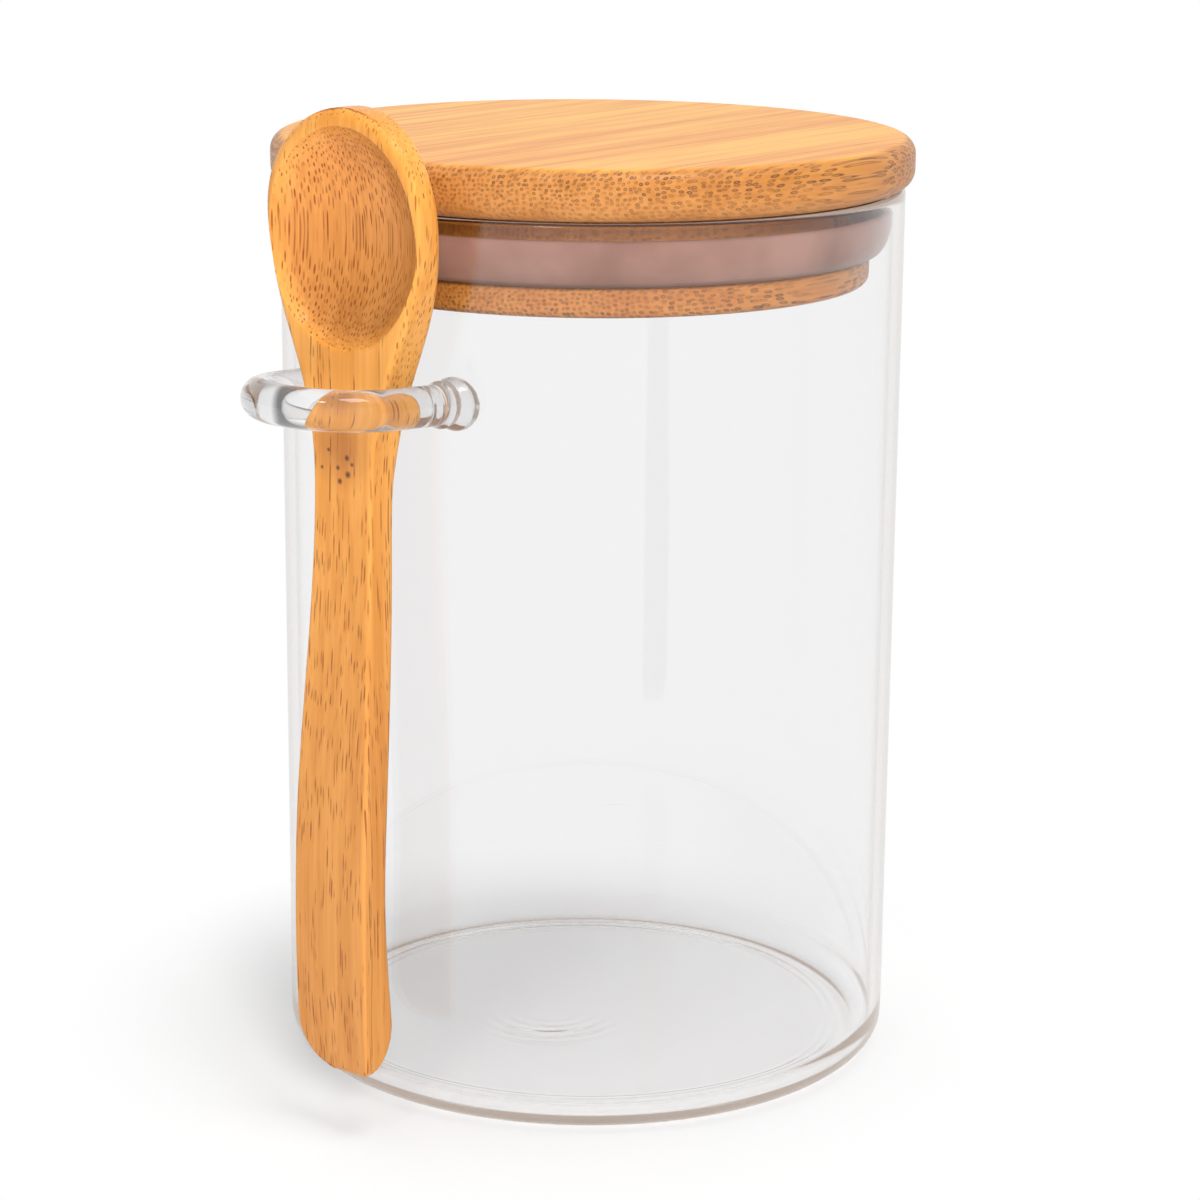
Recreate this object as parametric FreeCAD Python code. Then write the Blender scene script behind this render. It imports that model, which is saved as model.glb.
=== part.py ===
import FreeCAD, Part
import math
import os

# Food canister: a straight clear glass jar, a bamboo plug lid with a silicone
# ring, and a bamboo spoon that hangs in a glass loop on the jar's wall.
# Millimetres, +Z up. The origin is the centre of the jar's base. The loop and
# the spoon are on the -Y side, and "reach" is a distance from the axis that way.

# Jar
jar_radius = 50.0
jar_height = 142.7
jar_wall = 1.8
base_thickness = 1.7
base_dome_rise = 0.5
base_corner_radius = 4.2
floor_corner_radius = 3.2

# Lid
lid_overhang = 1.4
lid_thickness = 7.8
lid_top_edge_radius = 2.6
lid_lower_edge_radius = 3.8
lid_seat_gap = 0.2
plug_depth = 14.8
plug_ring_height = 4.8
plug_wall_gap = 3.7
plug_edge_radius = 1.4
seal_groove_depth = 3.2

# Seal
seal_height = 7.3
seal_foot_height = 2.6
seal_foot_overhang = 0.6
seal_lip_thickness = 1.2
seal_wall_gap = 0.2

# Spoon
spoon_bottom = 10.9
spoon_length = 148.1
spoon_lid_gap = 0.4
bowl_half_width = 15.4
bowl_top_height = 15.8
bowl_depth = 8.3
bowl_back_half_width = 20.0
bowl_back_half_length = 38.0
bowl_back_drop = 12.2
hollow_half_width = 13.9
hollow_half_length = 16.2
hollow_depth = 5.8
hollow_top_rim = 2.6
bowl_shoulder_half_width = 13.0
bowl_shoulder_drop = 13.2
seat_half_width = 7.6
neck_half_width = 5.8
neck_drop = 16.0
neck_bow = 0.3
neck_thickness = 5.4
neck_tail_thickness = 1.0
handle_half_width = 7.2
handle_straight_height = 37.0
handle_belly_height = 24.0
handle_belly_bow = 4.4
handle_belly_thickness = 5.9
handle_end_bow = 3.6
handle_end_thickness = 6.2
handle_end_round = 8.0
handle_far_corner_radius = 7.6
handle_near_corner_radius = 1.2

# Loop
rod_diameter = 6.2
loop_height = 115.3
loop_bend_advance = 1.0
loop_splay = 3.0
loop_tilt = 4.0
spoon_side_gap = 0.5
foot_diameter = 8.2
foot_length = 3.0

# Sizes that follow from the ones above
lid_radius = jar_radius + lid_overhang
lid_bottom = jar_height + lid_seat_gap
bore_radius = jar_radius - jar_wall
plug_radius = bore_radius - plug_wall_gap
plug_bottom = jar_height - plug_depth
groove_radius = plug_radius - seal_groove_depth
seal_bottom = plug_bottom + plug_ring_height
spoon_face_reach = lid_radius + spoon_lid_gap + bowl_depth
spoon_top = spoon_bottom + spoon_length
bowl_widest = spoon_top - bowl_top_height
rod_radius = rod_diameter / 2
loop_bend_reach = spoon_face_reach + loop_bend_advance
tilt = math.radians(loop_tilt)
splay = math.radians(loop_splay)
bend_radius = (seat_half_width + rod_radius + spoon_side_gap) / math.cos(splay)
seat_height = loop_height + (spoon_face_reach - jar_radius) * math.tan(tilt)


def at(x, y, z):
    return FreeCAD.Vector(x, y, z)


def line(a, b):
    return Part.LineSegment(a, b).toShape()


def arc(a, b, c):
    return Part.Arc(a, b, c).toShape()


def corner_arc(centre, radius, start, end):
    """Quarter round in the XZ plane, between two angles in degrees."""
    points = []
    for angle in (start, (start + end) / 2, end):
        turn = math.radians(angle)
        points.append(centre + at(radius * math.cos(turn), 0, radius * math.sin(turn)))
    return arc(*points)


def curve(points, first=None, last=None):
    """Smooth curve through a few points, with a direction at one or both ends."""
    spline = Part.BSplineCurve()
    if first and last:
        spline.interpolate(Points=points, InitialTangent=first, FinalTangent=last)
    else:
        spline.interpolate(Points=points)
    return spline.toShape()


def chained(pieces):
    """Joins lines, arcs and curves that are listed in order, adding straight links."""
    edges = []
    for piece in pieces:
        if edges:
            previous = edges[-1].lastVertex(True).Point
            if previous.distanceToPoint(piece.firstVertex(True).Point) > 1e-6:
                edges.append(line(previous, piece.firstVertex(True).Point))
        edges.append(piece)
    start = edges[0].firstVertex(True).Point
    end = edges[-1].lastVertex(True).Point
    if end.distanceToPoint(start) > 1e-6:
        edges.append(line(end, start))
    return Part.Face(Part.Wire(edges))


def turned(pieces):
    return chained(pieces).revolve(at(0, 0, 0), at(0, 0, 1), 360)


def jar_body():
    """Tube with a flat foot, rounded corners, a fire-polished rim and a faintly domed floor."""
    lip = jar_wall / 2
    floor_edge = bore_radius - floor_corner_radius
    foot_edge = jar_radius - base_corner_radius
    crown = base_thickness + base_dome_rise
    dome_radius = (floor_edge ** 2 + base_dome_rise ** 2) / (2 * base_dome_rise)
    sag = dome_radius - math.sqrt(dome_radius ** 2 - floor_edge ** 2 / 4)
    return turned([
        line(at(0, 0, 0), at(foot_edge, 0, 0)),
        corner_arc(at(foot_edge, 0, base_corner_radius), base_corner_radius, -90, 0),
        corner_arc(at(jar_radius - lip, 0, jar_height - lip), lip, 0, 180),
        corner_arc(at(floor_edge, 0, base_thickness + floor_corner_radius), floor_corner_radius, 0, -90),
        arc(at(floor_edge, 0, base_thickness), at(floor_edge / 2, 0, crown - sag), at(0, 0, crown)),
    ])


def lid_top():
    """Upper board of the lid, wider than the jar, with both edges eased."""
    top = lid_bottom + lid_thickness
    upper = lid_top_edge_radius
    lower = lid_lower_edge_radius
    return turned([
        line(at(0, 0, lid_bottom), at(lid_radius - lower, 0, lid_bottom)),
        corner_arc(at(lid_radius - lower, 0, lid_bottom + lower), lower, -90, 0),
        corner_arc(at(lid_radius - upper, 0, top - upper), upper, 0, 90),
        line(at(lid_radius - upper, 0, top), at(0, 0, top)),
    ])


def lid_plug():
    """Lower board of the lid: a ring that enters the mouth, below the seal's groove."""
    ease = plug_edge_radius
    return turned([
        line(at(0, 0, plug_bottom), at(plug_radius - ease, 0, plug_bottom)),
        corner_arc(at(plug_radius - ease, 0, plug_bottom + ease), ease, -90, 0),
        line(at(plug_radius, 0, seal_bottom), at(groove_radius, 0, seal_bottom)),
        line(at(groove_radius, 0, lid_bottom), at(0, 0, lid_bottom)),
    ])


def lid_seal():
    """Silicone ring: a foot in the groove and a lip that flares out to the jar's bore."""
    foot = plug_radius + seal_foot_overhang
    lip = bore_radius - seal_wall_gap
    lip_top = seal_bottom + seal_height
    foot_top = seal_bottom + seal_foot_height
    half = seal_lip_thickness / 2
    return turned([
        line(at(groove_radius, 0, seal_bottom), at(foot, 0, seal_bottom)),
        line(at(foot, 0, seal_bottom), at(lip, 0, lip_top - half)),
        corner_arc(at(lip - half, 0, lip_top - half), half, 0, 180),
        line(at(foot - seal_lip_thickness, 0, foot_top), at(groove_radius, 0, foot_top)),
    ])


def spoon_front(sign):
    """One edge of the spoon's face, from the straight handle to the widest part of the bowl."""
    return curve(
        [
            at(sign * handle_half_width, 0, spoon_bottom + handle_straight_height),
            at(sign * neck_half_width, 0, seat_height - neck_drop),
            at(sign * seat_half_width, 0, seat_height),
            at(sign * bowl_shoulder_half_width, 0, bowl_widest - bowl_shoulder_drop),
            at(sign * bowl_half_width, 0, bowl_widest),
        ],
        at(0, 0, 1),
        at(0, 0, 1),
    )


def spoon_outline():
    """The spoon seen from the front: a slim handle, a neck and an egg-shaped bowl."""
    end = handle_half_width
    near = handle_near_corner_radius
    far = handle_far_corner_radius
    right_side = spoon_front(1)
    left_side = spoon_front(-1)
    left_side.reverse()
    crown = bowl_half_width * math.sqrt(0.5)
    shoulder = bowl_widest + bowl_top_height * math.sqrt(0.5)
    top_points = [
        at(bowl_half_width, 0, bowl_widest),
        at(crown, 0, shoulder),
        at(0, 0, spoon_top),
        at(-crown, 0, shoulder),
        at(-bowl_half_width, 0, bowl_widest),
    ]
    return chained([
        line(at(-end + far, 0, spoon_bottom), at(end - near, 0, spoon_bottom)),
        corner_arc(at(end - near, 0, spoon_bottom + near), near, -90, 0),
        right_side,
        curve(top_points, at(0, 0, 1), at(0, 0, -1)),
        left_side,
        corner_arc(at(-end + far, 0, spoon_bottom + far), far, 180, 270),
    ])


def handle_side():
    """The handle seen from the side: it bows outward and its end is rounded at the back."""
    face = spoon_face_reach
    neck = seat_height - neck_drop
    belly = spoon_bottom + handle_belly_height
    end_face = face + handle_end_bow
    end_back = end_face - handle_end_thickness
    front = curve([
        at(0, -end_face, spoon_bottom),
        at(0, -face - handle_belly_bow, belly),
        at(0, -face - neck_bow, neck),
        at(0, -face, seat_height),
        at(0, -face, bowl_widest),
    ])
    back = curve([
        at(0, -face + neck_tail_thickness, bowl_widest),
        at(0, -face - neck_bow + neck_thickness, neck),
        at(0, -face - handle_belly_bow + handle_belly_thickness, belly),
        at(0, -end_back, spoon_bottom + handle_end_round),
    ])
    tip = arc(
        at(0, -end_back, spoon_bottom + handle_end_round),
        at(0, -end_face + handle_end_thickness * 0.72, spoon_bottom + handle_end_round * 0.3),
        at(0, -end_face, spoon_bottom),
    )
    return chained([front, back, tip])


def ellipsoid(centre, half_x, half_y, half_z):
    ball = Part.makeSphere(1.0)
    stretch = FreeCAD.Matrix()
    stretch.scale(half_x, half_y, half_z)
    form = ball.transformGeometry(stretch)
    form.translate(centre)
    return form


def spoon():
    """Bamboo spoon cut to its front and side outlines, then hollowed."""
    depth = 4 * bowl_depth
    blank = spoon_outline().extrude(at(0, -depth, 0))
    blank.translate(at(0, -spoon_face_reach + depth / 2, 0))
    handle = handle_side().extrude(at(4 * bowl_half_width, 0, 0))
    handle.translate(at(-2 * bowl_half_width, 0, 0))
    back_centre = at(0, -spoon_face_reach, bowl_widest - bowl_back_drop)
    bowl = ellipsoid(back_centre, bowl_back_half_width, bowl_depth, bowl_back_half_length)
    behind_face = Part.makeBox(4 * bowl_half_width, depth, spoon_length)
    behind_face.translate(at(-2 * bowl_half_width, -spoon_face_reach, spoon_bottom))
    hollow_centre = at(0, -spoon_face_reach, spoon_top - hollow_top_rim - hollow_half_length)
    hollow = ellipsoid(hollow_centre, hollow_half_width, hollow_depth, hollow_half_length)
    return blank.common(handle.fuse(bowl.common(behind_face))).cut(hollow)


def spoon_loop():
    """Glass rod bent to a splayed U, tilted up a little, with flared feet on the jar's wall."""
    end_x = bend_radius * math.cos(splay)
    end_reach = loop_bend_reach + bend_radius * math.sin(splay)
    run = end_reach - bore_radius + rod_diameter
    foot_x = end_x + run * math.tan(splay)
    foot_reach = end_reach - run
    bend_start = at(end_x, -end_reach, 0)
    bend_end = at(-end_x, -end_reach, 0)
    path = Part.Wire([
        line(at(foot_x, -foot_reach, 0), bend_start),
        arc(bend_start, at(0, -loop_bend_reach - bend_radius, 0), bend_end),
        line(bend_end, at(-foot_x, -foot_reach, 0)),
    ])
    inward = at(math.sin(splay), math.cos(splay), 0)
    section = Part.Wire(Part.Circle(at(foot_x, -foot_reach, 0), inward, rod_radius).toShape())
    loop = path.makePipeShell([section], True, False)
    for sign in (1, -1):
        axis = at(sign * math.sin(splay), math.cos(splay), 0)
        wall_x = sign * (end_x + (end_reach - jar_radius) * math.tan(splay))
        start = at(wall_x, -jar_radius, 0) - axis * foot_length
        collar = Part.makeCone(rod_radius, foot_diameter / 2, foot_length, start, axis)
        root = Part.makeCylinder(foot_diameter / 2, rod_diameter, start + axis * foot_length, axis)
        loop = loop.fuse([collar, root])
    loop.rotate(at(0, -jar_radius, 0), at(1, 0, 0), -loop_tilt)
    loop.translate(at(0, 0, loop_height))
    jar = Part.makeCylinder(jar_radius, jar_height)
    return loop.cut(jar).removeSplitter()


os.makedirs("parts", exist_ok=True)
nodes = {
    "jar_body": jar_body(),
    "spoon_loop": spoon_loop(),
    "lid_top": lid_top(),
    "lid_plug": lid_plug(),
    "lid_seal": lid_seal(),
    "spoon": spoon(),
}
for name, shape in nodes.items():
    shape.exportStep("parts/" + name + ".step")
    print(name, shape.isValid(), len(shape.Solids), round(shape.Volume, 1), shape.BoundBox)
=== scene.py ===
import math

import bmesh
import bpy
import numpy as np
from mathutils import Matrix, Vector


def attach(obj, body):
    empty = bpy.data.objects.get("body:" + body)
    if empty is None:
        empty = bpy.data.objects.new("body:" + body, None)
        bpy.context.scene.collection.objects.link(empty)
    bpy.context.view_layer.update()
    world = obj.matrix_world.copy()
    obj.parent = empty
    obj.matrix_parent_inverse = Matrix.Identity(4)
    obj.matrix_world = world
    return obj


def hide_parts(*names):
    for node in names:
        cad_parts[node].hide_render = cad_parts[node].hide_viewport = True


# A clear glass jar with a bamboo plug lid, a silicone ring and a bamboo spoon that
# hangs in a glass loop. Shapes are worked out in millimetres and put into metres.
# The origin is the middle of the jar's base, +Z is up, and the loop is on the -Y side.

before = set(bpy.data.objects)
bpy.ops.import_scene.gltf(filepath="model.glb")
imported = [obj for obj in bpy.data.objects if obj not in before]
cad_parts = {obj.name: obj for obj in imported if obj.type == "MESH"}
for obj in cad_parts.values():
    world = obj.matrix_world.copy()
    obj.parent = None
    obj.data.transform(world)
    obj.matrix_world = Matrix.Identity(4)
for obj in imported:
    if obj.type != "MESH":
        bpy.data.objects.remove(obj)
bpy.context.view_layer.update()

MM = 0.001

# In metres: the floor's height, its half side, the distances from the jar's axis between which
# it fades to white, and how close points are welded or dissolved
FLOOR = -0.0002
FLOOR_SIDE = 2.5
FLOOR_FADE = (0.05, 0.095)
WELD = 2e-6
SLIVER = 1e-7
SHARP_ANGLE = math.radians(40)

# Jar
JAR_RADIUS = 50.0
JAR_HEIGHT = 142.7
JAR_BORE = 48.2
JAR_FLOOR = 1.7
JAR_DOME = 0.5
JAR_FOOT_ROUND = 4.2
JAR_FLOOR_ROUND = 5.0
FLOOR_RINGS = ((42.2, 0.1), (40.6, 0.08))  # radius and height of each
RING_WIDTH = 0.5
RING_ZONE = 38.0
RIPPLE_CENTRE = (-3.5, -5.3)
RIPPLE_WAY = (0.616, -0.788)
RIPPLE_REACH = 10.0
RIPPLE_SPREAD = 3.6
RIPPLE_WAVES = 2.6
RIPPLE_HEIGHT = 0.06
RIPPLE_ZONE = 22.0

# Lid
LID_RADIUS = 51.4
LID_BOTTOM = 142.9
LID_TOP = 150.7
LID_TOP_ROUND = 2.6
LID_LOWER_ROUND = 2.8
PLUG_RADIUS = 44.5
PLUG_BOTTOM = 127.9
PLUG_ROUND = 1.4
PLUG_UPPER_ROUND = 0.9
GROOVE_RADIUS = 41.3
SEAL_BOTTOM = 132.7
SEAL_TOP = 140.0
SEAL_FOOT = 45.1
SEAL_FOOT_TOP = 135.3
SEAL_LIP = 48.0
SEAL_SKIN = 1.2

# Loop
ROD = 3.1
LOOP_HEIGHT = 115.3
LOOP_TILT = math.radians(4.0)
LOOP_SPLAY = math.radians(3.0)
BEND_RADIUS = 11.2 / math.cos(LOOP_SPLAY)
BEND_REACH = 61.1
FOOT_RADIUS = 4.1
FOOT_FLARE = 3.0
FLARE_START = 0.9
FOOT_GAP = 0.03
LEG_END = 47.2
COLLAR_HEIGHT = 0.5
COLLAR_PLACE = 4.3
COLLAR_WIDTH = 0.7

# Spoon
SPOON_BOTTOM = 10.9
SPOON_TOP = 159.0
FACE_REACH = 60.1
SEAT_HEIGHT = LOOP_HEIGHT + (FACE_REACH - JAR_RADIUS) * math.tan(LOOP_TILT)
SEAT_HALF = 7.6
NECK_HEIGHT = SEAT_HEIGHT - 16.0
NECK_HALF = 5.8
HANDLE_HALF = 7.2
HANDLE_STRAIGHT = 47.9
HANDLE_END_ROUND = 8.0
HEEL_HEIGHT = 18.9
BELLY_HEIGHT = 34.9
END_ROWS = 12.0
FAR_CORNER = 7.6
NEAR_CORNER = 1.2
BOWL_HALF = 15.4
BOWL_RISE = 15.8
BOWL_WIDEST = SPOON_TOP - BOWL_RISE
SHOULDER_HALF = 13.0
SHOULDER_HEIGHT = BOWL_WIDEST - 13.2
BOWL_DEPTH = 8.3
BOWL_BACK_HALF = 20.0
BOWL_BACK_LENGTH = 38.0
BOWL_BACK_MIDDLE = BOWL_WIDEST - 12.2
BACK_JOIN = 1.2
HOLLOW_HALF = 14.4
HOLLOW_LENGTH = 16.5
HOLLOW_DEPTH = 6.0
HOLLOW_POWER = 0.74
HOLLOW_RIM = 2.6
HOLLOW_MIDDLE = SPOON_TOP - HOLLOW_RIM - HOLLOW_LENGTH
HANDLE_EDGE = 0.7
BOWL_EDGE_EXTRA = 1.2
BOWL_EDGE_RISE = 20.0
BACK_EDGE = 1.3

# Looks: the depths in metres between which the hollow's painted shade and denser bundles end, the
# height in millimetres below which the handle is not painted lighter, how the boards' grain lies,
# and where the side cards stand
HOLLOW_FADE = (-0.053, -0.0538)
LOWER_TONE = 60.0
BOARD_GRAIN = (math.radians(90), 0, math.radians(2))
CARD_WAY = (0.788, 0.616, 0.0)

# Marks on the spoon below the loop, in metres: the middle of the loop's painted shadow and
# staining, and specks with their sizes
LOOP_SHADOW_AND_STAIN = (0, -0.06, 0.109)
SPECKS = (
    ((0.001, -0.0602, 0.1073), 0.0006),
    ((0.0012, -0.0603, 0.1048), 0.0007),
    ((-0.0008, -0.0603, 0.1056), 0.0005),
    ((-0.0027, -0.0602, 0.1081), 0.0004),
    ((0.002, -0.0602, 0.1064), 0.0004),
    ((-0.004, -0.0603, 0.1053), 0.0004),
    ((-0.0004, -0.0603, 0.1036), 0.0006),
)


def arc(centre_r, centre_z, radius, start, end, steps=14):
    """Points on a circle in the profile plane, between two angles in degrees."""
    turn = np.radians(np.linspace(start, end, steps))
    return np.c_[centre_r + radius * np.cos(turn), centre_z + radius * np.sin(turn)]


def span(a, b, steps=2):
    """Evenly spaced points on a straight line between two profile points."""
    t = np.linspace(0, 1, steps)[:, None]
    return np.asarray(a) * (1 - t) + np.asarray(b) * t


def grid_quads(rows, columns, wrap):
    """Corner numbers of the quads of a grid, joined round in the second direction if asked."""
    last = columns if wrap else columns - 1
    i, j = np.meshgrid(np.arange(rows - 1), np.arange(last), indexing="ij")
    k = (j + 1) % columns
    here, above = i * columns, (i + 1) * columns
    return np.stack([here + j, here + k, above + k, above + j], -1).reshape(-1, 4)


def added(name, data):
    """A new object in the scene."""
    made = bpy.data.objects.new(name, data)
    bpy.context.scene.collection.objects.link(made)
    return made


def solid(name, points, quads, material, body, node, slot):
    """Makes one closed smooth mesh from points in millimetres, in place of a CAD node."""
    mesh = bpy.data.meshes.new(name)
    mesh.from_pydata((np.asarray(points) * MM).tolist(), [], np.asarray(quads).tolist())
    work = bmesh.new()
    work.from_mesh(mesh)
    bmesh.ops.remove_doubles(work, verts=work.verts, dist=WELD)
    bmesh.ops.dissolve_degenerate(work, edges=work.edges, dist=SLIVER)
    bmesh.ops.recalc_face_normals(work, faces=work.faces)
    work.to_mesh(mesh)
    work.free()
    mesh.polygons.foreach_set("use_smooth", np.ones(len(mesh.polygons), dtype=bool))
    mesh.set_sharp_from_angle(angle=SHARP_ANGLE)
    mesh.materials.append(material)
    piece = added(name, mesh)
    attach(piece, body)
    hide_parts(node)


def turned(profile, around=192):
    """A profile of radius and height carried round the Z axis in equal steps."""
    profile = np.concatenate(profile)
    angle = np.linspace(0, 2 * np.pi, around, endpoint=False)
    x = profile[:, :1] * np.cos(angle)
    y = profile[:, :1] * np.sin(angle)
    z = np.repeat(profile[:, 1:], around, axis=1)
    return np.stack([x, y, z], -1).reshape(-1, 3), grid_quads(len(profile), around, True)


def jar_profile():
    """Foot, wall, round rim, bore, floor corner and a shallow dome on the floor."""
    lip = (JAR_RADIUS - JAR_BORE) / 2
    floor_edge = JAR_BORE - JAR_FLOOR_ROUND
    r = np.concatenate([
        np.linspace(floor_edge, RING_ZONE + 1, 60),
        np.linspace(RING_ZONE, RIPPLE_ZONE, 8),
        np.linspace(RIPPLE_ZONE - 0.3, 0, 72),
    ])
    dome = np.c_[r, JAR_FLOOR + JAR_DOME * (1 - (r / floor_edge) ** 2)]
    return [
        span((0, 0), (JAR_RADIUS - JAR_FOOT_ROUND, 0), 6),
        arc(JAR_RADIUS - JAR_FOOT_ROUND, JAR_FOOT_ROUND, JAR_FOOT_ROUND, -90, 0)[1:],
        span((JAR_RADIUS, 6), (JAR_RADIUS, JAR_HEIGHT - lip - 1), 12),
        arc(JAR_RADIUS - lip, JAR_HEIGHT - lip, lip, 0, 180),
        span((JAR_BORE, JAR_HEIGHT - lip - 1), (JAR_BORE, 8), 12),
        arc(floor_edge, JAR_FLOOR + JAR_FLOOR_ROUND, JAR_FLOOR_ROUND, 0, -90, 32),
        dome[1:],
    ]


def jar_surface():
    """The turned jar, with what blowing leaves on its floor.

    Two low rings lie near the floor's edge, and a few faint ripples on one side of a point
    near its middle.
    """
    points, quads = turned(jar_profile(), 256)
    r = np.hypot(points[:, 0], points[:, 1])
    across, along = points[:, 0] - RIPPLE_CENTRE[0], points[:, 1] - RIPPLE_CENTRE[1]
    reach = np.maximum(np.hypot(across, along), 0.1)
    towards = np.clip((RIPPLE_WAY[0] * across + RIPPLE_WAY[1] * along) / reach, 0, 1) ** 2
    floor = (points[:, 2] > 1) & (points[:, 2] < JAR_FLOOR + 1)
    edge = floor & (r > RING_ZONE) & (r < JAR_BORE - JAR_FLOOR_ROUND + 0.1)
    middle = floor & (r < RIPPLE_ZONE)
    for radius, height in FLOOR_RINGS:
        points[:, 2] += edge * height * np.exp(-(((r - radius) / RING_WIDTH) ** 2))
    fade = np.exp(-(((reach - RIPPLE_REACH) / RIPPLE_SPREAD) ** 2))
    points[:, 2] += middle * towards * RIPPLE_HEIGHT * np.cos(RIPPLE_WAVES * reach) * fade
    return points, quads


def lid_profile():
    """Upper board: flat underside and top with both outer edges eased."""
    low, top = LID_LOWER_ROUND, LID_TOP_ROUND
    return [
        span((0, LID_BOTTOM), (LID_RADIUS - low - 0.1, LID_BOTTOM), 8),
        arc(LID_RADIUS - low, LID_BOTTOM + low, low, -90, 0),
        arc(LID_RADIUS - top, LID_TOP - top, top, 0, 90),
        span((LID_RADIUS - top - 0.1, LID_TOP), (0, LID_TOP), 8),
    ]


def plug_profile():
    """Lower board: a ring with eased edges below a straight groove."""
    upper = PLUG_UPPER_ROUND
    return [
        span((0, PLUG_BOTTOM), (PLUG_RADIUS - PLUG_ROUND - 0.1, PLUG_BOTTOM), 8),
        arc(PLUG_RADIUS - PLUG_ROUND, PLUG_BOTTOM + PLUG_ROUND, PLUG_ROUND, -90, 0),
        span((PLUG_RADIUS, PLUG_BOTTOM + PLUG_ROUND + 0.1), (PLUG_RADIUS, SEAL_BOTTOM - upper), 4),
        arc(PLUG_RADIUS - upper, SEAL_BOTTOM - upper, upper, 0, 90, 8)[1:],
        span((GROOVE_RADIUS, SEAL_BOTTOM), (GROOVE_RADIUS, LID_BOTTOM), 4),
        span((GROOVE_RADIUS - 0.1, LID_BOTTOM), (0, LID_BOTTOM), 4),
    ]


def seal_profile():
    """A foot in the groove and a thin lip that swells up and out to a round edge."""
    half = SEAL_SKIN / 2
    swell = np.radians(np.linspace(8, 84, 16))
    outer = np.c_[
        SEAL_FOOT + (SEAL_LIP - SEAL_FOOT) * np.sin(swell),
        SEAL_TOP - half - (SEAL_TOP - half - SEAL_BOTTOM) * np.cos(swell),
    ]
    inner = outer[::-1] - [SEAL_SKIN, -0.3]
    inner = inner[inner[:, 1] > SEAL_FOOT_TOP]
    ring = [
        span((GROOVE_RADIUS, SEAL_BOTTOM), (SEAL_FOOT - 0.2, SEAL_BOTTOM), 4),
        outer,
        arc(SEAL_LIP - half, SEAL_TOP - half, half, 0, 170),
        inner,
        span((SEAL_FOOT - SEAL_SKIN, SEAL_FOOT_TOP), (GROOVE_RADIUS, SEAL_FOOT_TOP), 4),
    ]
    return ring + [ring[0][:1]]


def loop_surface(around=48):
    """Circles carried along a splayed U: a straight leg, a bend and a leg, tilted up a little.

    The circles grow in a smooth flare towards the feet, with a low collar in front of each
    flare. Points that would lie inside the jar's outer wall are moved out onto it.
    """
    end_x = BEND_RADIUS * math.cos(LOOP_SPLAY)
    end_reach = BEND_REACH + BEND_RADIUS * math.sin(LOOP_SPLAY)
    lean = np.array([math.sin(LOOP_SPLAY), -math.cos(LOOP_SPLAY)])
    leg_length = (end_reach - LEG_END) / math.cos(LOOP_SPLAY)
    back = np.concatenate([
        np.linspace(leg_length, leg_length - 4.5, 26),
        np.linspace(leg_length - 5, 0.4, 10),
    ])
    leg = np.array([end_x, end_reach]) + back[:, None] * lean
    turn = np.linspace(LOOP_SPLAY, math.pi - LOOP_SPLAY, 72)
    bend = np.c_[BEND_RADIUS * np.cos(turn), BEND_REACH + BEND_RADIUS * np.sin(turn)]
    path = np.concatenate([leg, bend, leg[::-1] * [-1, 1]])
    step = np.gradient(path, axis=0)
    step /= np.linalg.norm(step, axis=1)[:, None]
    side = np.c_[-step[:, 1], step[:, 0]]
    from_end = leg_length - back
    from_end = np.concatenate([from_end, np.full(len(turn), 99.0), from_end[::-1]])
    flare = np.clip(1 - (from_end - FLARE_START) / FOOT_FLARE, 0, 1)
    collar = COLLAR_HEIGHT * np.exp(-((from_end - COLLAR_PLACE) / COLLAR_WIDTH) ** 2)
    radius = ROD + (FOOT_RADIUS - ROD) * flare ** 2 * (3 - 2 * flare) + collar
    angle = np.linspace(0, 2 * np.pi, around, endpoint=False)
    flat = path[:, None] + side[:, None] * (radius[:, None] * np.cos(angle))[..., None]
    height = radius[:, None] * np.sin(angle)
    reach = flat[..., 1] - JAR_RADIUS
    points = np.stack([
        flat[..., 0],
        -(JAR_RADIUS + reach * math.cos(LOOP_TILT) - height * math.sin(LOOP_TILT)),
        LOOP_HEIGHT + reach * math.sin(LOOP_TILT) + height * math.cos(LOOP_TILT),
    ], -1)
    from_axis = np.hypot(points[..., 0], points[..., 1])[..., None]
    wall = JAR_RADIUS + FOOT_GAP
    flat = points[..., :2]
    points[..., :2] = np.where(from_axis < wall, flat * (wall / from_axis), flat)
    rows = np.concatenate([
        np.repeat(points[:1].mean(1, keepdims=True), around, axis=1),
        points,
        np.repeat(points[-1:].mean(1, keepdims=True), around, axis=1),
    ])
    return rows.reshape(-1, 3), grid_quads(len(rows), around, True)


def flowing(z, heights, values, first, last):
    """A smooth curve through a few values at given heights, with a slope at each end.

    The pieces are cubics. Their slopes where they meet are solved so that the bend is
    the same on both sides.
    """
    heights, values = np.array(heights), np.array(values)
    gap = np.diff(heights)
    rise = np.diff(values) / gap
    count = len(heights)
    inner = np.arange(1, count - 1)
    system = np.eye(count)
    system[inner, inner - 1] = 1 / gap[:-1]
    system[inner, inner] = 2 / gap[:-1] + 2 / gap[1:]
    system[inner, inner + 1] = 1 / gap[1:]
    wanted = np.zeros(count)
    wanted[0], wanted[-1] = first, last
    wanted[inner] = 3 * (rise[:-1] / gap[:-1] + rise[1:] / gap[1:])
    slope = np.linalg.solve(system, wanted)
    k = np.clip(np.searchsorted(heights, z) - 1, 0, count - 2)
    t = np.clip((z - heights[k]) / gap[k], 0, 1)
    return (
        values[k] * (1 + 2 * t) * (1 - t) ** 2 + values[k + 1] * t * t * (3 - 2 * t)
        + gap[k] * (slope[k] * t * (1 - t) ** 2 + slope[k + 1] * t * t * (t - 1))
    )


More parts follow.
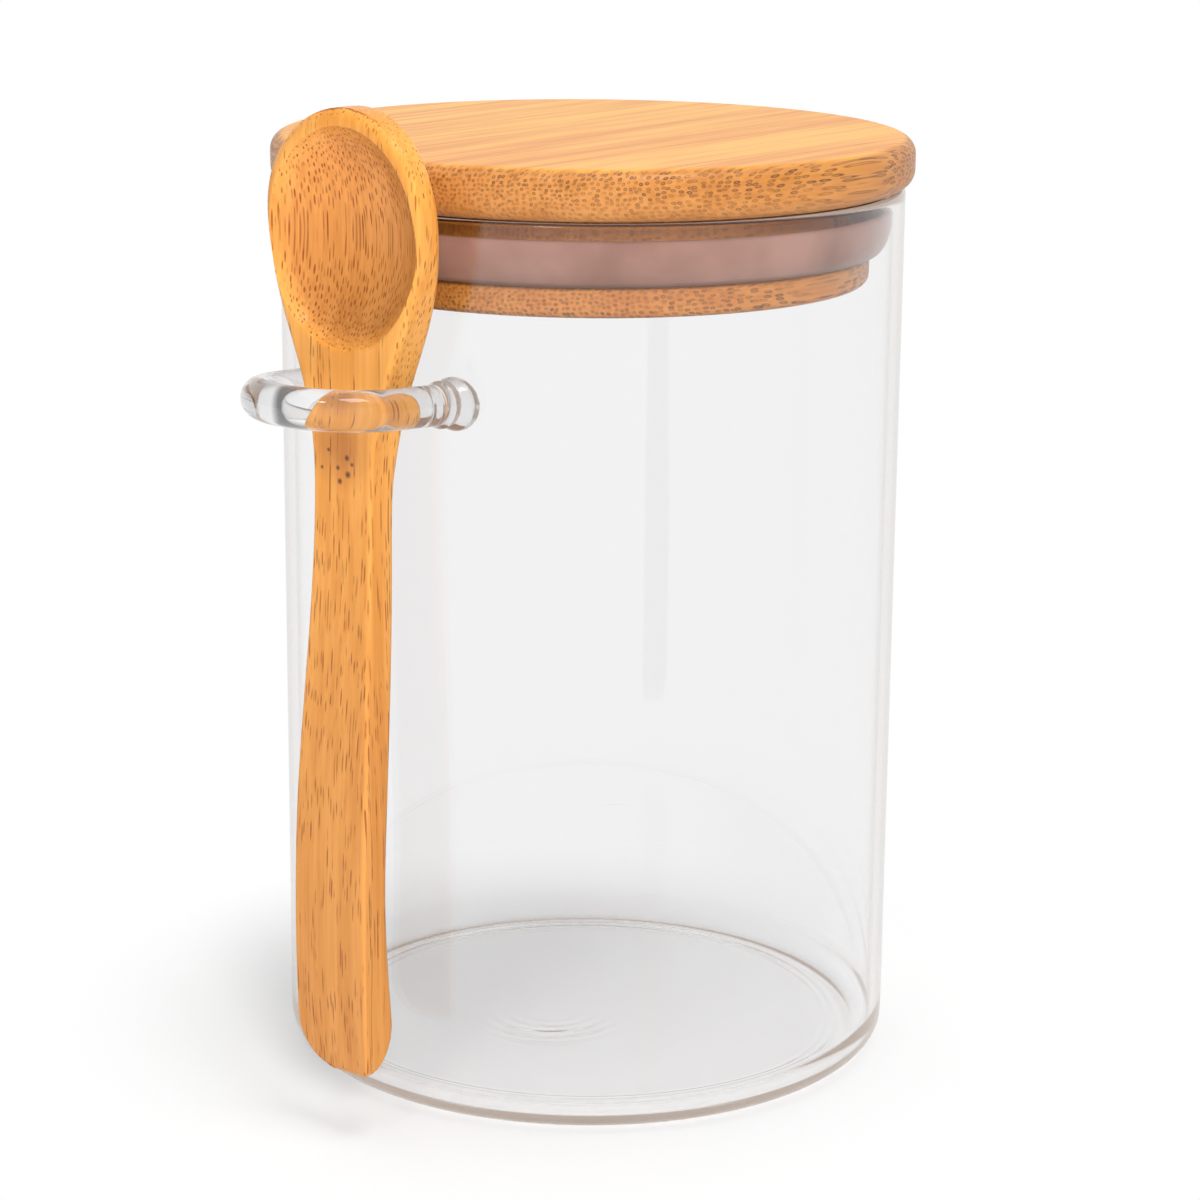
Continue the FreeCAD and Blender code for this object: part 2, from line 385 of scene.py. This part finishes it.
def spoon_half_width(z):
    """A straight handle, a slim neck that widens at the loop, and an egg-shaped bowl."""
    edge = flowing(
        z,
        [HANDLE_STRAIGHT, NECK_HEIGHT, SEAT_HEIGHT, SHOULDER_HEIGHT, BOWL_WIDEST],
        [HANDLE_HALF, NECK_HALF, SEAT_HALF, SHOULDER_HALF, BOWL_HALF],
        0.0, 0.0,
    )
    oval = BOWL_HALF * np.sqrt(np.clip(1 - ((z - BOWL_WIDEST) / BOWL_RISE) ** 2, 0, 1))
    return np.where(z < BOWL_WIDEST, edge, oval)


def corner_inset(z, radius):
    """How far a rounded corner at the handle's end draws the edge in at a height."""
    below = np.clip(SPOON_BOTTOM + radius - z, 0, radius)
    return radius - np.sqrt(radius ** 2 - below ** 2)


def spoon_bow(z):
    """Outward bow of the handle's front from the bowl's plane, fullest low on the handle."""
    return flowing(
        z,
        [SPOON_BOTTOM, BELLY_HEIGHT, NECK_HEIGHT, SEAT_HEIGHT, BOWL_WIDEST],
        [3.6, 4.4, 0.3, 0.0, 0.0],
        0.07, 0.0,
    )


def spoon_thickness(x, z):
    """A slab for the handle, rounded off at its end, that flows into an oval back for the bowl."""
    slab = flowing(
        z,
        [SPOON_BOTTOM, HEEL_HEIGHT, BELLY_HEIGHT, HANDLE_STRAIGHT, NECK_HEIGHT, BOWL_WIDEST],
        [7.0, 6.75, 5.9, 5.7, 5.4, 1.0],
        -0.03, -0.08,
    )
    rise = np.clip((z - SPOON_BOTTOM) / HANDLE_END_ROUND, 0, 1)
    slab = slab * np.sqrt(np.clip(1 - (1 - rise) ** 2, 0.004, 1))
    oval = 1 - (x / BOWL_BACK_HALF) ** 2 - ((z - BOWL_BACK_MIDDLE) / BOWL_BACK_LENGTH) ** 2
    back = BOWL_DEPTH * np.sqrt(np.clip(oval, 0, 1))
    return (slab + back + np.sqrt((slab - back) ** 2 + BACK_JOIN ** 2)) / 2


def spoon_hollow(x, z):
    """Depth of the bowl's oval hollow, a little steeper at its edge than a parabola."""
    inside = 1 - (x / HOLLOW_HALF) ** 2 - ((z - HOLLOW_MIDDLE) / HOLLOW_LENGTH) ** 2
    return HOLLOW_DEPTH * np.clip(inside, 0, 1) ** HOLLOW_POWER


def roll(distance, radius):
    """Drop of a rounded edge at a distance in from the outline."""
    left = np.clip(radius - distance, 0, radius)
    return radius - np.sqrt(radius ** 2 - left ** 2)


def spoon_surface(columns=121):
    """Front and back height fields over the spoon's outline, joined by a side wall.

    Rows run up the spoon, closer together at both ends, and columns run across it,
    closer together at the edges. Each edge is rounded by its distance from the outline.
    """
    low = SPOON_BOTTOM + END_ROWS * (1 - np.cos(np.linspace(0, np.pi / 2, 48)))
    middle = np.linspace(SPOON_BOTTOM + END_ROWS, BOWL_WIDEST, 210)[1:]
    high = BOWL_WIDEST + BOWL_RISE * np.sin(np.linspace(0, np.pi / 2, 70))[1:]
    z = np.concatenate([low, middle, high])
    half = spoon_half_width(z)
    left = -half + corner_inset(z, FAR_CORNER)
    right = half - corner_inset(z, NEAR_CORNER)
    across = np.sin(np.linspace(-np.pi / 2, np.pi / 2, columns))
    x = (left + right)[:, None] / 2 + (right - left)[:, None] / 2 * across
    height = np.repeat(z[:, None], columns, axis=1)
    outline = np.concatenate([
        np.c_[left, z],
        np.c_[right, z],
        np.c_[np.linspace(left[0], right[0], 200), np.full(200, z[0])],
    ])
    flat = np.stack([x, height], -1).reshape(-1, 1, 2)
    distance = np.concatenate([
        np.sqrt(((part - outline) ** 2).sum(-1)).min(1) for part in np.array_split(flat, 40)
    ]).reshape(x.shape)
    distance[:, [0, -1]] = 0
    distance[[0, -1]] = 0
    face = -(FACE_REACH + spoon_bow(height))
    thick = spoon_thickness(x, height)
    on_bowl = np.clip((height - SEAT_HEIGHT) / BOWL_EDGE_RISE, 0, 1)
    front_round = np.minimum(HANDLE_EDGE + BOWL_EDGE_EXTRA * on_bowl, thick / 3)
    back_round = np.minimum(BACK_EDGE, thick / 2.5)
    front = face + spoon_hollow(x, height) + roll(distance, front_round)
    back = face + thick - roll(distance, back_round)
    size = x.size
    points = np.concatenate([
        np.stack([x, front, height], -1).reshape(-1, 3),
        np.stack([x, back, height], -1).reshape(-1, 3),
    ])
    sheet = grid_quads(len(z), columns, False)
    number = np.arange(size).reshape(x.shape)
    ring = np.concatenate([number[0], number[1:, -1], number[-1, -2::-1], number[-2:0:-1, 0]])
    after = np.roll(ring, -1)
    wall = np.stack([ring, after, after + size, ring + size], -1)
    return points, np.concatenate([sheet, sheet[:, ::-1] + size, wall])


def linear(red, green, blue):
    """A screen colour out of 255 as a linear colour with alpha."""
    c = np.array([red, green, blue]) / 255
    return (*np.where(c <= 0.04045, c / 12.92, ((c + 0.055) / 1.055) ** 2.4), 1.0)


def node(tree, kind, inputs=None, **settings):
    """Adds a shader node, sets its options and links or sets its inputs."""
    made = tree.nodes.new(kind)
    for key, value in settings.items():
        setattr(made, key, value)
    for key, value in (inputs or {}).items():
        if isinstance(value, bpy.types.NodeSocket):
            tree.links.new(value, made.inputs[key])
        else:
            made.inputs[key].default_value = value
    return made


def ramp(tree, factor, stops):
    """Colour ramp with stops of position and colour."""
    made = node(tree, "ShaderNodeValToRGB", {"Fac": factor})
    band = made.color_ramp
    while len(band.elements) < len(stops):
        band.elements.new(0.5)
    for element, (position, colour) in zip(band.elements, stops):
        element.position = position
        element.color = colour
    return made.outputs["Color"]


def mapped(tree, value, low=0.0, high=1.0, start=0.0, end=1.0, **settings):
    """A value carried from one range to another and held at its ends."""
    return node(tree, "ShaderNodeMapRange", {
        "Value": value, "From Min": low, "From Max": high, "To Min": start, "To Max": end,
    }, **settings).outputs[0]


def maths(tree, operation, first, second):
    """The result of one operation on two values."""
    return node(tree, "ShaderNodeMath", {0: first, 1: second}, operation=operation).outputs[0]


def vectors(tree, operation, *inputs):
    """The node of one operation on vectors."""
    return node(tree, "ShaderNodeVectorMath", dict(enumerate(inputs)), operation=operation)


def blended(tree, factor, first, second):
    """A colour between two colours."""
    return node(tree, "ShaderNodeMix", {
        "Factor": factor, 6: first, 7: second,
    }, data_type="RGBA").outputs[2]


def mixed_shader(tree, factor, first, second):
    """The node of a shader that goes over from one shader to another."""
    return node(tree, "ShaderNodeMixShader", {
        "Fac": factor, 1: first.outputs[0], 2: second.outputs[0],
    })


def bamboo_group():
    """Bamboo with its grain along Z: fibre bundles, fine streaks and slow bands of tone.

    The bundles are round cells across the grain that wander a little on their way along it,
    so a cut across the grain shows dots and a cut along it shows dashes. Each bundle fades in
    and out along its length down to the level of Bundle Gaps.
    """
    tree = bpy.data.node_groups.new("bamboo_grain", "ShaderNodeTree")
    face = tree.interface
    face.new_socket("Position", in_out="INPUT", socket_type="NodeSocketVector")
    for name in ("Bundle Pitch", "Bundle Size", "Bundle Core", "Bundle Depth", "Bundle Gaps"):
        face.new_socket(name, in_out="INPUT", socket_type="NodeSocketFloat")
    for name in ("Pale", "Deep", "Bundle"):
        face.new_socket(name, in_out="INPUT", socket_type="NodeSocketColor")
    face.new_socket("Color", in_out="OUTPUT", socket_type="NodeSocketColor")
    face.new_socket("Relief", in_out="OUTPUT", socket_type="NodeSocketFloat")
    source = node(tree, "NodeGroupInput").outputs
    place = source["Position"]

    def streaks(scale, along, detail):
        drawn = vectors(tree, "MULTIPLY", place, (1.0, 1.0, along)).outputs[0]
        return node(tree, "ShaderNodeTexNoise", {
            "Vector": drawn, "Scale": scale, "Detail": detail, "Roughness": 0.6,
        }).outputs["Fac"]

    wide = vectors(tree, "MULTIPLY", place, (3.0, 3.0, 1.0)).outputs[0]
    wander = node(tree, "ShaderNodeTexNoise", {"Vector": wide, "Scale": 60.0, "Detail": 1.0})
    sway = vectors(tree, "SUBTRACT", wander.outputs["Color"], (0.5, 0.5, 0.5)).outputs[0]
    moved = vectors(tree, "MULTIPLY_ADD", sway, (0.0012, 0.0012, 0.0), place).outputs[0]
    cells = node(tree, "ShaderNodeTexVoronoi", {
        "Vector": moved, "Scale": maths(tree, "DIVIDE", 1000.0, source["Bundle Pitch"]),
        "Randomness": 0.65,
    }, voronoi_dimensions="2D").outputs
    size = source["Bundle Size"]
    core_size = maths(tree, "MULTIPLY", size, 0.6)
    bundles = mapped(tree, cells["Distance"], size, core_size, interpolation_type="SMOOTHSTEP")
    cores = mapped(tree, cells["Distance"], core_size, 0.03, 0.0, source["Bundle Core"])
    odds = mapped(tree, cells["Color"], 0.0, 0.8, 0.5, 1.0)
    own = vectors(tree, "MULTIPLY", cells["Color"], (40, 40, 40)).outputs[0]
    stations = vectors(tree, "MULTIPLY_ADD", place, (0, 0, 330), own).outputs[0]
    breaks = node(tree, "ShaderNodeTexNoise", {"Vector": stations, "Scale": 1.0, "Detail": 0.0})
    shown = mapped(tree, breaks.outputs["Fac"], 0.42, 0.58, source["Bundle Gaps"], 1.0)
    odds = maths(tree, "MULTIPLY", odds, shown)
    depth = maths(tree, "MULTIPLY", odds, source["Bundle Depth"])
    spots = maths(tree, "MULTIPLY", maths(tree, "SUBTRACT", bundles, cores), depth)
    spots = node(tree, "ShaderNodeClamp", {"Value": spots}).outputs[0]
    fine = streaks(1500.0, 0.02, 3.0)
    tone = maths(tree, "ADD", fine, streaks(330.0, 0.03, 2.0))
    tone = maths(tree, "ADD", tone, streaks(70.0, 0.12, 2.0))
    ground = blended(tree, mapped(tree, tone, 1.28, 1.72), source["Deep"], source["Pale"])
    coloured = blended(tree, spots, ground, source["Bundle"])
    relief = maths(tree, "SUBTRACT", fine, spots)
    node(tree, "NodeGroupOutput", {"Color": coloured, "Relief": relief})
    return tree


def blank_material(name):
    """A material with an empty node tree, its output node and its Object coordinates."""
    made = bpy.data.materials.new(name)
    made.use_nodes = True
    tree = made.node_tree
    tree.nodes.clear()
    out = node(tree, "ShaderNodeOutputMaterial")
    return made, tree, out, node(tree, "ShaderNodeTexCoord").outputs["Object"]


def by_height(tree, place, low, high, start, end):
    """A value that runs from start to end between two heights in millimetres."""
    z = node(tree, "ShaderNodeSeparateXYZ", {"Vector": place}).outputs["Z"]
    return mapped(tree, z, low * MM, high * MM, start, end)


def sanded_bamboo(tree, out, grain, place, turn, values, oil=0.12):
    """Satin bamboo: the grain group turned along the piece, under a thin film of oil.

    Its fibres and pores are also a fine relief.
    """
    along = node(tree, "ShaderNodeMapping", {"Vector": place, "Rotation": turn}).outputs[0]
    wood = node(tree, "ShaderNodeGroup", {"Position": along, **values}, node_tree=grain).outputs
    bump = node(tree, "ShaderNodeBump", {
        "Height": wood["Relief"], "Strength": 0.3, "Distance": 0.0002,
    })
    skin = node(tree, "ShaderNodeBsdfPrincipled", {
        "Base Color": wood["Color"], "Normal": bump.outputs[0], "IOR": 1.45,
        "Roughness": mapped(tree, wood["Relief"], -0.4, 1.0, 0.55, 0.38),
        "Coat Weight": oil, "Coat Roughness": 0.16,
    })
    tree.links.new(skin.outputs[0], out.inputs["Surface"])


def lid_finish(grain):
    """Sanded top face with long streaks, painted paler than the golden edge partly as light from
    above; the edge's bundles crowd upwards.
    """
    made, tree, out, place = blank_material("lid_bamboo")
    # Painted light: the top face's colours are paler than the edge's, partly for the light from
    # above and partly for its sanded face.
    top = by_height(tree, place, LID_TOP - 0.5, LID_TOP - 0.05, 0.0, 1.0)
    crowd = by_height(tree, place, LID_BOTTOM, LID_TOP - 3.0, 0.4, 1.0)
    sanded_bamboo(tree, out, grain, place, BOARD_GRAIN, {
        "Bundle Pitch": 0.7, "Bundle Size": 0.4, "Bundle Core": 0.75, "Bundle Gaps": 0.6,
        "Bundle Depth": mapped(tree, top, 0.0, 1.0, crowd, 0.12),
        "Pale": blended(tree, top, linear(214, 145, 76), linear(255, 188, 78)),
        "Deep": blended(tree, top, linear(196, 126, 58), linear(232, 145, 50)),
        "Bundle": linear(98, 58, 36),
    })
    return made


def plug_finish(grain):
    """Tan board whose bundles crowd to the bottom of its edge."""
    made, tree, out, place = blank_material("plug_bamboo")
    crowd = by_height(tree, place, PLUG_BOTTOM + 1.0, SEAL_BOTTOM, 0.95, 0.5)
    sanded_bamboo(tree, out, grain, place, BOARD_GRAIN, {
        "Bundle Pitch": 0.7, "Bundle Size": 0.4, "Bundle Core": 0.7, "Bundle Gaps": 0.6,
        "Bundle Depth": crowd,
        "Pale": linear(226, 150, 74), "Deep": linear(208, 128, 56), "Bundle": linear(84, 48, 26),
    })
    return made


def hollow_mask(tree, place):
    """One in the bowl's hollow and nought elsewhere, with a soft edge."""
    oval = node(tree, "ShaderNodeMapping", {
        "Vector": place, "Location": (0, 0, -HOLLOW_MIDDLE / HOLLOW_LENGTH),
        "Scale": (1 / HOLLOW_HALF / MM, 0, 1 / HOLLOW_LENGTH / MM),
    }).outputs[0]
    within = mapped(tree, vectors(tree, "LENGTH", oval).outputs["Value"], 1.0, 0.85)
    depth = node(tree, "ShaderNodeSeparateXYZ", {"Vector": place}).outputs["Y"]
    return maths(tree, "MULTIPLY", within, mapped(tree, depth, *HOLLOW_FADE))


def spoon_finish(grain):
    """Oiled warm bamboo with dark bundles, painted lighter from the handle's middle up, and with
    painted shade in the hollow that grows towards its bottom.

    Below the loop lie a painted shadow of the loop with some staining, and a few specks.
    """
    made, tree, out, place = blank_material("spoon_bamboo")
    hollow = hollow_mask(tree, place)
    # Painted light: the face is painted lighter from LOWER_TONE up to the loop and over the bowl.
    painted_light_fade = by_height(tree, place, SEAT_HEIGHT, LOWER_TONE, 0.0, 1.0)
    # Painted shade in the hollow, growing towards its bottom.
    painted_hollow_shade = by_height(tree, place, HOLLOW_MIDDLE + 9, HOLLOW_MIDDLE - 12, 0.0, 1.0)
    # Below the loop a darker patch: partly a painted shadow of the loop, partly staining.
    from_shadow_and_stain = vectors(tree, "DISTANCE", place, LOOP_SHADOW_AND_STAIN).outputs["Value"]
    loop_shadow_and_stain = mapped(tree, from_shadow_and_stain, 0.0075, 0.002, 0.0, 0.85)
    specks = [
        mapped(tree, vectors(tree, "DISTANCE", place, spot).outputs["Value"], size, size / 3)
        for spot, size in SPECKS
    ]

    def toned(face, low_face, bowl, low_bowl, shadowed_and_stained, dark):
        """One tone of the wood over the whole spoon, with its painted light and shade and its
        marks.
        """
        face = blended(tree, painted_light_fade, face, low_face)
        bowl = blended(tree, painted_hollow_shade, bowl, low_bowl)
        tone = blended(tree, loop_shadow_and_stain, blended(tree, hollow, face, bowl), shadowed_and_stained)
        for speck in specks:
            tone = blended(tree, speck, tone, dark)
        return tone

    sanded_bamboo(tree, out, grain, place, (0, 0, 0), {
        "Bundle Pitch": 0.56, "Bundle Size": 0.3, "Bundle Core": 0.0,
        "Bundle Gaps": mapped(tree, hollow, 0.0, 1.0, 0.1, 0.6),
        "Bundle Depth": mapped(tree, hollow, 0.0, 1.0, 0.8, 0.95),
        # Each tone: painted-lit face, face at full tone, the hollow's painted shade at top and
        # bottom, the loop's painted shadow with staining, specks.
        "Pale": toned(
            linear(255, 180, 88), linear(236, 160, 78),
            linear(246, 164, 80), linear(214, 144, 72),
            linear(204, 132, 62), linear(120, 70, 38),
        ),
        "Deep": toned(
            linear(240, 158, 66), linear(218, 140, 60),
            linear(224, 142, 60), linear(192, 122, 54),
            linear(184, 112, 48), linear(100, 58, 32),
        ),
        "Bundle": linear(146, 70, 14),
    }, oil=0.2)
    return made


def clear_glass(name, wave):
    """Clear glass with a faint waviness that lets light through to what is inside.

    A little of the light is lost on the way through. A painted shade darkens the glass colour where
    the surface turns away, so walls and rods show grey edges. Where a ray has been mirrored more
    than twice inside the glass, the glass glows a pale warm tone: painted light in place of the
    light it would carry.
    """
    made, tree, out, place = blank_material(name)
    ripple = node(tree, "ShaderNodeTexNoise", {"Vector": place, "Scale": 40.0, "Detail": 1.0})
    bump = node(tree, "ShaderNodeBump", {
        "Height": ripple.outputs["Fac"], "Strength": wave, "Distance": 0.0004,
    })
    # Painted shade: the glass colour darkens towards grey where the surface turns away from view.
    edge = node(tree, "ShaderNodeLayerWeight", {"Blend": 0.5}).outputs["Facing"]
    grazing = mapped(tree, edge, 0.8, 0.985)
    painted_edge_shade = blended(tree, grazing, (0.955, 0.955, 0.958, 1), (0.34, 0.34, 0.35, 1))
    clear = node(tree, "ShaderNodeBsdfPrincipled", {
        "Base Color": painted_edge_shade, "Roughness": 0.0, "IOR": 1.47, "Transmission Weight": 1.0,
        "Normal": bump.outputs[0],
    })
    through = node(tree, "ShaderNodeBsdfTransparent", {"Color": (0.97, 0.97, 0.97, 1)})
    # Painted light: a pale warm glow for rays mirrored more than twice inside the glass.
    painted_trapped_glow = node(tree, "ShaderNodeEmission", {"Color": (0.54, 0.44, 0.37, 1), "Strength": 1.0})
    path = node(tree, "ShaderNodeLightPath").outputs
    often = maths(tree, "GREATER_THAN", path["Glossy Depth"], 2.5)
    glass = mixed_shader(tree, often, clear, painted_trapped_glow)
    mixed = mixed_shader(tree, path["Is Shadow Ray"], glass, through)
    loss = node(tree, "ShaderNodeVolumeAbsorption", {"Color": (0.8, 0.8, 0.8, 1), "Density": 40.0})
    tree.links.new(mixed.outputs[0], out.inputs["Surface"])
    tree.links.new(loss.outputs[0], out.inputs["Volume"])
    return made


def seal_finish():
    """Milky silicone painted with the cloudy brown of the bamboo seen through it, and a painted
    shadow along its foot.
    """
    made, tree, out, place = blank_material("seal_silicone")
    cloud = node(tree, "ShaderNodeTexNoise", {"Vector": place, "Scale": 75.0, "Detail": 3.0})
    # The body colour is painted with the brown of the bamboo seen through the silicone.
    body = ramp(tree, cloud.outputs["Fac"], [
        (0.35, linear(184, 130, 110)), (0.65, linear(222, 170, 152)),
    ])
    # Painted shadow: darker over the bottom millimetre of the foot, where the seal sits on the
    # plug.
    foot = by_height(tree, place, SEAL_BOTTOM + 1.0, SEAL_BOTTOM + 0.3, 0.0, 0.7)
    colour = blended(tree, foot, body, linear(112, 72, 56))
    skin = node(tree, "ShaderNodeBsdfPrincipled", {
        "Base Color": colour, "Roughness": 0.3, "IOR": 1.41, "Transmission Weight": 0.3,
        "Subsurface Weight": 0.2, "Subsurface Radius": (0.004, 0.003, 0.002),
    })
    tree.links.new(skin.outputs[0], out.inputs["Surface"])
    return made


def make_pieces():
    """The six pieces, each in the place of its CAD node."""
    grain = bamboo_group()
    solid(
        "jar_shell", *jar_surface(), clear_glass("jar_glass", 0.02),
        "jar", "jar_body", "jar_glass",
    )
    solid(
        "glass_loop", *loop_surface(), clear_glass("loop_glass", 0.08),
        "jar", "spoon_loop", "loop_glass",
    )
    solid(
        "lid_board", *turned(lid_profile()), lid_finish(grain),
        "lid", "lid_top", "lid_bamboo",
    )
    solid(
        "plug_board", *turned(plug_profile()), plug_finish(grain),
        "lid", "lid_plug", "plug_bamboo",
    )
    solid(
        "seal_ring", *turned(seal_profile()), seal_finish(),
        "lid", "lid_seal", "seal_silicone",
    )
    solid(
        "hanging_spoon", *spoon_surface(), spoon_finish(grain),
        "spoon", "spoon", "spoon_bamboo",
    )


def seen_directly(tree):
    """One for camera rays, reflections and refractions, and nought for scattered light."""
    path = node(tree, "ShaderNodeLightPath").outputs
    seen = maths(tree, "MAXIMUM", path["Is Camera Ray"], path["Is Glossy Ray"])
    return maths(tree, "MAXIMUM", seen, path["Is Transmission Ray"])


def make_floor():
    """A wide pale floor that keeps the object's soft shadow.

    Seen directly it is a little brighter, and it fades to plain white away from the jar.
    """
    made, tree, out, place = blank_material("studio_floor")
    mottle = node(tree, "ShaderNodeTexNoise", {"Vector": place, "Scale": 3.0})
    colour = ramp(tree, mottle.outputs["Fac"], [
        (0.3, (0.78, 0.78, 0.78, 1)), (0.7, (0.8, 0.8, 0.8, 1)),
    ])
    plain = node(tree, "ShaderNodeBsdfDiffuse", {"Color": colour})
    glow = node(tree, "ShaderNodeEmission", {"Color": (1, 1, 1, 1), "Strength": 0.22})
    matte = node(tree, "ShaderNodeBsdfDiffuse", {"Color": (0.78, 0.78, 0.78, 1)})
    near = node(tree, "ShaderNodeAddShader", {0: glow.outputs[0], 1: matte.outputs[0]})
    white = node(tree, "ShaderNodeEmission", {"Color": (1, 1, 1, 1), "Strength": 1.0})
    away = vectors(tree, "LENGTH", place).outputs["Value"]
    far = mapped(tree, away, *FLOOR_FADE, interpolation_type="SMOOTHSTEP")
    shown = mixed_shader(tree, far, near, white)
    mixed = mixed_shader(tree, seen_directly(tree), plain, shown)
    tree.links.new(mixed.outputs[0], out.inputs["Surface"])
    mesh = bpy.data.meshes.new("studio_floor")
    ways = ((-1, -1), (1, -1), (1, 1), (-1, 1))
    corners = [(x * FLOOR_SIDE, y * FLOOR_SIDE, FLOOR) for x, y in ways]
    mesh.from_pydata(corners, [], [(0, 1, 2, 3)])
    mesh.materials.append(made)
    floor = added("studio_floor", mesh)


def make_lamp(name, place, aim, size, power, mirrored):
    """A square soft lamp that faces a point, in metres and watts.

    Only mirrored lamps show as highlights.
    """
    data = bpy.data.lights.new(name, "AREA")
    data.size = size
    data.energy = power
    lamp = added(name, data)
    lamp.location = place
    lamp.rotation_euler = (Vector(aim) - Vector(place)).to_track_quat("-Z", "Y").to_euler()
    lamp.visible_glossy = mirrored
    lamp.visible_transmission = False


def make_sky_lamp(strength):
    """A very wide, even light from above that falls alike on the lid and the whole floor."""
    data = bpy.data.lights.new("sky_lamp", "SUN")
    data.energy = strength
    data.angle = math.radians(70)
    lamp = added("sky_lamp", data)
    lamp.rotation_euler = (math.radians(-12), math.radians(-14), 0)
    lamp.visible_glossy = False
    lamp.visible_transmission = False


def make_world():
    """Even white light, plain white behind the object, and darker cards in its glass.

    The cards stand overhead and at both sides of the photograph's view.
    """
    world = bpy.data.worlds.new("studio")
    bpy.context.scene.world = world
    world.use_nodes = True
    tree = world.node_tree
    tree.nodes.clear()
    out = node(tree, "ShaderNodeOutputWorld")
    way = node(tree, "ShaderNodeTexCoord").outputs["Generated"]
    rise = node(tree, "ShaderNodeSeparateXYZ", {"Vector": way}).outputs["Z"]
    overhead = mapped(tree, rise, 0.3, 0.6, 1.0, 0.35)
    sideways = vectors(tree, "DOT_PRODUCT", way, CARD_WAY).outputs["Value"]
    aside = node(tree, "ShaderNodeMath", {0: sideways}, operation="ABSOLUTE").outputs[0]
    room = maths(tree, "MULTIPLY", overhead, mapped(tree, aside, 0.7, 0.9, 1.0, 0.25))
    path = node(tree, "ShaderNodeLightPath").outputs
    bright = maths(tree, "MAXIMUM", room, path["Is Camera Ray"])
    light = node(tree, "ShaderNodeBackground", {"Color": (1, 1, 1, 1), "Strength": 0.2})
    white = node(tree, "ShaderNodeBackground", {"Color": (1, 1, 1, 1), "Strength": bright})
    mixed = mixed_shader(tree, seen_directly(tree), light, white)
    tree.links.new(mixed.outputs[0], out.inputs["Surface"])


def make_camera():
    """The photograph's viewpoint: a long lens, turned round the jar and looking slightly down."""
    azimuth = math.radians(38.0)
    distance, height = 0.53037, 0.21044
    pitch, roll_angle, yaw = 0.252892, 0.008727, 0.003258
    level = math.cos(pitch)
    forward = Vector((math.sin(yaw) * level, math.cos(yaw) * level, -math.sin(pitch)))
    right = Vector((math.cos(yaw), -math.sin(yaw), 0))
    up = right.cross(forward)
    tipped_right = math.cos(roll_angle) * right + math.sin(roll_angle) * up
    tipped_up = math.cos(roll_angle) * up - math.sin(roll_angle) * right
    turn = Matrix.Rotation(azimuth, 4, "Z")
    aim = Matrix((tipped_right, tipped_up, -forward)).transposed().to_4x4()
    data = bpy.data.cameras.new("photo_view")
    data.sensor_width = 36.0
    data.lens = 99.303
    data.clip_start = 0.01
    camera = added("photo_view", data)
    camera.matrix_world = turn @ Matrix.Translation((0, -distance, height)) @ aim
    bpy.context.scene.camera = camera


make_pieces()
make_floor()
make_lamp("key_lamp", (0.88, -0.85, 0.6), (0, 0, 0.09), 0.35, 11.9, False)
make_lamp("top_lamp", (0.35, -0.05, 1.0), (0, -0.02, 0.12), 0.35, 2.5, True)
make_lamp("edge_lamp", (0.2, -0.66, 1.05), (0, -0.05, 0.13), 0.15, 0.9, True)
make_sky_lamp(1.1)
make_world()
make_camera()

bpy.context.scene.view_settings.view_transform = "Standard"
